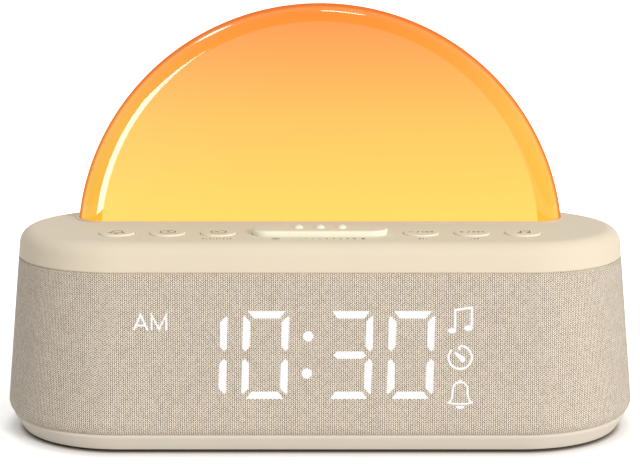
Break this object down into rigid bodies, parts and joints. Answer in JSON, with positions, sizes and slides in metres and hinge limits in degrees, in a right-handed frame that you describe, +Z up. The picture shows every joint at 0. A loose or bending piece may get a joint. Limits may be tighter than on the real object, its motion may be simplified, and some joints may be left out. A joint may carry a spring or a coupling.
{
  "type": "sunrise alarm clock",
  "caption": "Cloth-wrapped bedside alarm clock with a half-round sunrise lamp on top, a lit time display behind the cloth and a row of push keys.",
  "frame": {"origin": "on the table, under the middle of the clock's bounding box", "axes": "+X along the long side, to the right in a front view; +Y from the display to the back; +Z up"},
  "size_m": [0.2, 0.0772, 0.1342],
  "materials": {
    "shell_plastic": "fine matt moulded ABS, warm cream",
    "inner_plastic": "plain moulded ABS, cream",
    "white_plastic": "plain moulded polycarbonate, white",
    "black_plastic": "plain moulded plastic, black",
    "fabric": "woven speaker cloth, cream and taupe polyester",
    "lamp_plastic": "polished translucent polycarbonate, lit amber",
    "seal_silicone": "soft translucent silicone",
    "rubber": "matt moulded rubber",
    "screw_steel": "zinc-plated steel",
    "cell_steel": "drawn stainless steel",
    "can_aluminium": "satin drawn aluminium",
    "board_aluminium": "aluminium laminate under white solder mask",
    "laminate": "glass-epoxy laminate under green solder mask",
    "led": "epoxy over a white package",
    "display_light": "clear light pipe, lit white",
    "cone_paper": "pressed paper pulp, dyed black",
    "ferrite": "ground ferrite",
    "ribbon_film": "laminated flat cable, white"
  },
  "bodies": {
    "case": {"fabric_sleeve": "fabric", "housing": "inner_plastic", "top_cap": "shell_plastic", "base_cover": "shell_plastic", "rubber_feet": "rubber", "case_screws": "screw_steel", "key_switches": "black_plastic", "key_board": "laminate", "key_board_screws": "screw_steel", "dome_shade": "lamp_plastic", "dome_gasket": "seal_silicone", "lamp_frame": "inner_plastic", "lamp_frame_screws": "screw_steel", "light_reflector": "white_plastic", "reflector_screws": "screw_steel", "light_board": "board_aluminium", "light_leds": "led", "display_mask": "black_plastic", "display_light_pipes": "display_light", "display_board": "laminate", "display_leds": "led", "display_screws": "screw_steel", "main_board": "laminate", "main_board_screws": "screw_steel", "board_chips": "black_plastic", "board_capacitors": "can_aluminium", "cell_holder": "black_plastic", "coin_cell": "cell_steel", "usb_socket": "cell_steel", "usb_tongue": "black_plastic", "port_panel": "shell_plastic", "speaker_baskets": "black_plastic", "speaker_cones": "cone_paper", "speaker_magnets": "ferrite", "speaker_screws": "screw_steel", "ribbon_sockets": "white_plastic", "key_ribbon": "ribbon_film", "light_ribbon": "ribbon_film"},
    "alarm_button": {"alarm_key": "shell_plastic", "alarm_plunger": "black_plastic"},
    "clock_button": {"clock_key": "shell_plastic", "clock_plunger": "black_plastic"},
    "timer_button": {"timer_key": "shell_plastic", "timer_plunger": "black_plastic"},
    "down_button": {"down_key": "shell_plastic", "down_plunger": "black_plastic"},
    "up_button": {"up_key": "shell_plastic", "up_plunger": "black_plastic"},
    "sound_button": {"sound_key": "shell_plastic", "sound_plunger": "black_plastic"},
    "snooze_button": {"snooze_bar": "shell_plastic", "snooze_plunger": "black_plastic"}
  },
  "joints": [
    {"name": "alarm_press", "type": "slide", "parent": "case", "child": "alarm_button", "axis": [0, 0, 1], "range_m": [-0.0005, 0], "stiffness_N_per_m": 600, "springref_m": 0.001},
    {"name": "clock_press", "type": "slide", "parent": "case", "child": "clock_button", "axis": [0, 0, 1], "range_m": [-0.0005, 0], "stiffness_N_per_m": 600, "springref_m": 0.001},
    {"name": "timer_press", "type": "slide", "parent": "case", "child": "timer_button", "axis": [0, 0, 1], "range_m": [-0.0005, 0], "stiffness_N_per_m": 600, "springref_m": 0.001},
    {"name": "down_press", "type": "slide", "parent": "case", "child": "down_button", "axis": [0, 0, 1], "range_m": [-0.0005, 0], "stiffness_N_per_m": 600, "springref_m": 0.001},
    {"name": "up_press", "type": "slide", "parent": "case", "child": "up_button", "axis": [0, 0, 1], "range_m": [-0.0005, 0], "stiffness_N_per_m": 600, "springref_m": 0.001},
    {"name": "sound_press", "type": "slide", "parent": "case", "child": "sound_button", "axis": [0, 0, 1], "range_m": [-0.0005, 0], "stiffness_N_per_m": 600, "springref_m": 0.001},
    {"name": "snooze_press", "type": "slide", "parent": "case", "child": "snooze_button", "axis": [0, 0, 1], "range_m": [-0.0005, 0], "stiffness_N_per_m": 600, "springref_m": 0.001}
  ]
}
